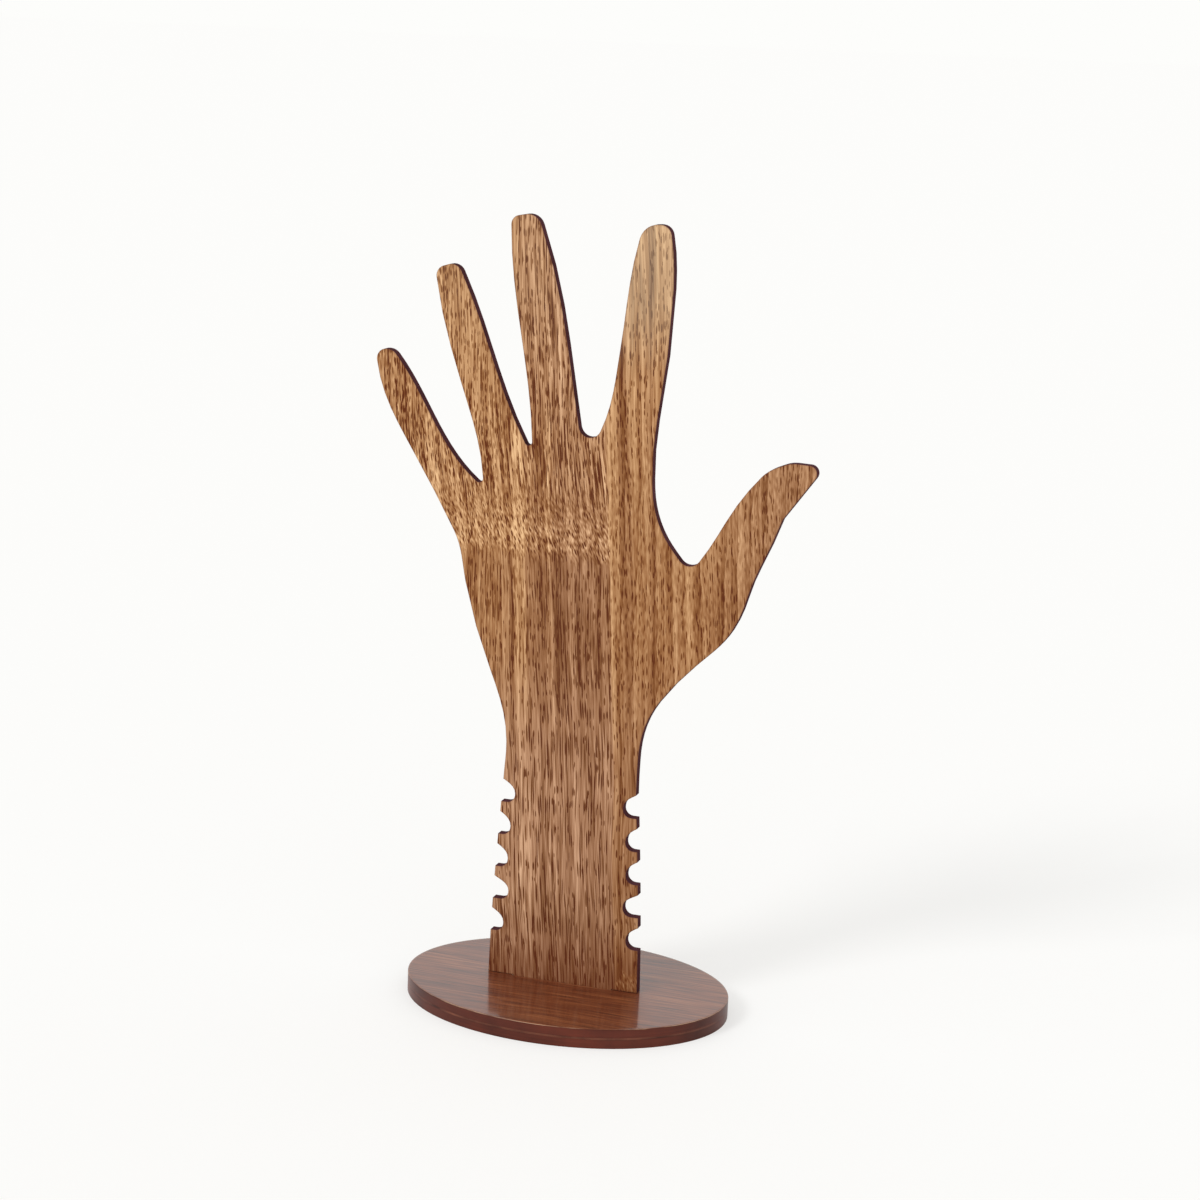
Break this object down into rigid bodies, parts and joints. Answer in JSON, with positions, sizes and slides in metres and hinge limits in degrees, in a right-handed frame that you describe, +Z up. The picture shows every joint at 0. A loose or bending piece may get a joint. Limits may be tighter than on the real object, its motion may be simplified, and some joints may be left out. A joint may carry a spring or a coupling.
{
  "type": "hand jewelry display",
  "caption": "Flat hand cut from veneered board on an oval base: rings slip over its fingers, and chains and bracelets hang from the notches in its wrist.",
  "frame": {"origin": "middle of the oval base's underside", "axes": "+Z up, the front of the hand faces -Y, and its thumb points to +X"},
  "size_m": [0.1709, 0.0928, 0.2995],
  "materials": {
    "hand_veneer": "satin",
    "base_veneer": "gloss",
    "board_core": "matte"
  },
  "bodies": {
    "base": {"base_lower_bottom_veneer": "base_veneer", "base_lower_core": "board_core", "base_lower_top_veneer": "base_veneer", "base_upper_bottom_veneer": "base_veneer", "base_upper_core": "board_core", "base_upper_top_veneer": "base_veneer"},
    "hand": {"hand_front_veneer": "hand_veneer", "hand_core": "board_core", "hand_back_veneer": "hand_veneer"}
  },
  "joints": [
    {"name": "hand_lift", "type": "slide", "parent": "base", "child": "hand", "axis": [0, 0, 1], "range_m": [0, 0.02]}
  ]
}
